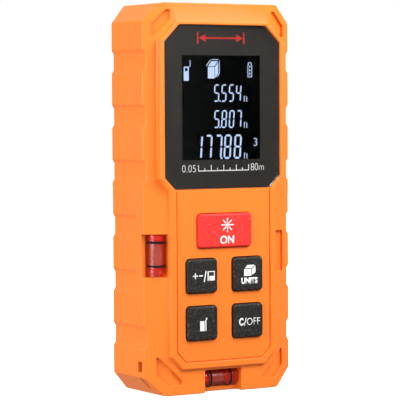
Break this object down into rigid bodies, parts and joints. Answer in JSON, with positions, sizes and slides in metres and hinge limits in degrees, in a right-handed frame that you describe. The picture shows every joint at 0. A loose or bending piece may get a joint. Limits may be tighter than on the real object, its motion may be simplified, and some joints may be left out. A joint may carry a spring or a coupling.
{
  "type": "laser distance meter",
  "caption": "Hand-held laser distance meter with a chamfered shell, display window, keys, two bubble levels and a hinged battery door at the back.",
  "frame": {"origin": "centre of the bottom of the bounding box, on the rear end face that the meter stands on", "axes": "+Z from the rear end to the laser end, -Y the face with the display and keys, +X to the right of the display as it is read"},
  "size_m": [0.052, 0.0268, 0.118],
  "materials": {
    "orange_shell": "satin moulded ABS",
    "window": "polished hard-coated acrylic",
    "window_print": "black back print",
    "display": "dark negative liquid crystal glass",
    "light_guide": "milky light guide",
    "white_plastic": "moulded",
    "flex": "polyimide film",
    "red_key": "satin moulded",
    "black_key": "satin moulded",
    "silicone": "moulded silicone",
    "steel": "zinc plated",
    "dark_steel": "black oxide",
    "board": "green solder resist",
    "chip": "moulded epoxy",
    "black_plastic": "fine moulded texture",
    "bench_metal": "die cast",
    "optical_glass": "polished and coated",
    "brass_part": "turned",
    "filter_glass": "polished",
    "vial_acrylic": "moulded clear acrylic",
    "vial_fluid": "tinted spirit",
    "cell_wrap": "shrink sleeve",
    "foam": "closed cell foam",
    "label": "blank film"
  },
  "bodies": {
    "root": {"front_housing": "orange_shell", "rear_housing": "orange_shell", "window_lens": "window", "window_mask": "window_print", "lcd_panel": "display", "lcd_backlight": "light_guide", "lcd_frame": "white_plastic", "lcd_ribbon": "flex", "keypad_web": "silicone", "key_domes": "steel", "main_board": "board", "board_chips": "chip", "buzzer": "black_plastic", "board_screws": "steel", "end_panel": "black_plastic", "optical_bench": "bench_metal", "receiver_lens": "optical_glass", "lens_ring": "black_plastic", "laser_window": "optical_glass", "laser_barrel": "brass_part", "laser_lens": "optical_glass", "laser_diode": "brass_part", "light_filter": "filter_glass", "photodiode": "brass_part", "sensor_board": "board", "bench_screws": "steel", "side_vial_tube": "vial_acrylic", "side_vial_liquid": "vial_fluid", "side_vial_plug": "vial_acrylic", "side_vial_rings": "black_plastic", "end_vial_tube": "vial_acrylic", "end_vial_liquid": "vial_fluid", "end_vial_plug": "vial_acrylic", "end_vial_rings": "black_plastic", "battery_tray": "black_plastic", "battery_cells": "cell_wrap", "battery_springs": "steel", "battery_contacts": "steel", "housing_screws": "dark_steel", "rating_label": "label", "lanyard_bar": "steel"},
    "measure_key": {"measure_button": "red_key"},
    "reference_key": {"reference_button": "black_key"},
    "units_key": {"units_button": "black_key"},
    "indirect_key": {"indirect_button": "black_key"},
    "clear_key": {"clear_button": "black_key"},
    "door": {"battery_door": "orange_shell", "door_foam": "foam"}
  },
  "joints": [
    {"name": "measure_press", "type": "slide", "parent": "root", "child": "measure_key", "axis": [0, 1, 0], "range_m": [0, 0.0008], "stiffness_N_per_m": 1500, "springref_m": -0.0006},
    {"name": "reference_press", "type": "slide", "parent": "root", "child": "reference_key", "axis": [0, 1, 0], "range_m": [0, 0.0008], "stiffness_N_per_m": 1200, "springref_m": -0.0006},
    {"name": "units_press", "type": "slide", "parent": "root", "child": "units_key", "axis": [0, 1, 0], "range_m": [0, 0.0008], "stiffness_N_per_m": 1200, "springref_m": -0.0006},
    {"name": "indirect_press", "type": "slide", "parent": "root", "child": "indirect_key", "axis": [0, 1, 0], "range_m": [0, 0.0008], "stiffness_N_per_m": 1200, "springref_m": -0.0006},
    {"name": "clear_press", "type": "slide", "parent": "root", "child": "clear_key", "axis": [0, 1, 0], "range_m": [0, 0.0008], "stiffness_N_per_m": 1200, "springref_m": -0.0006},
    {"name": "door_hinge", "type": "hinge", "parent": "root", "child": "door", "pos_m": [0, 0.01225, 0.0129], "axis": [-1, 0, 0], "range_deg": [0, 90]}
  ]
}
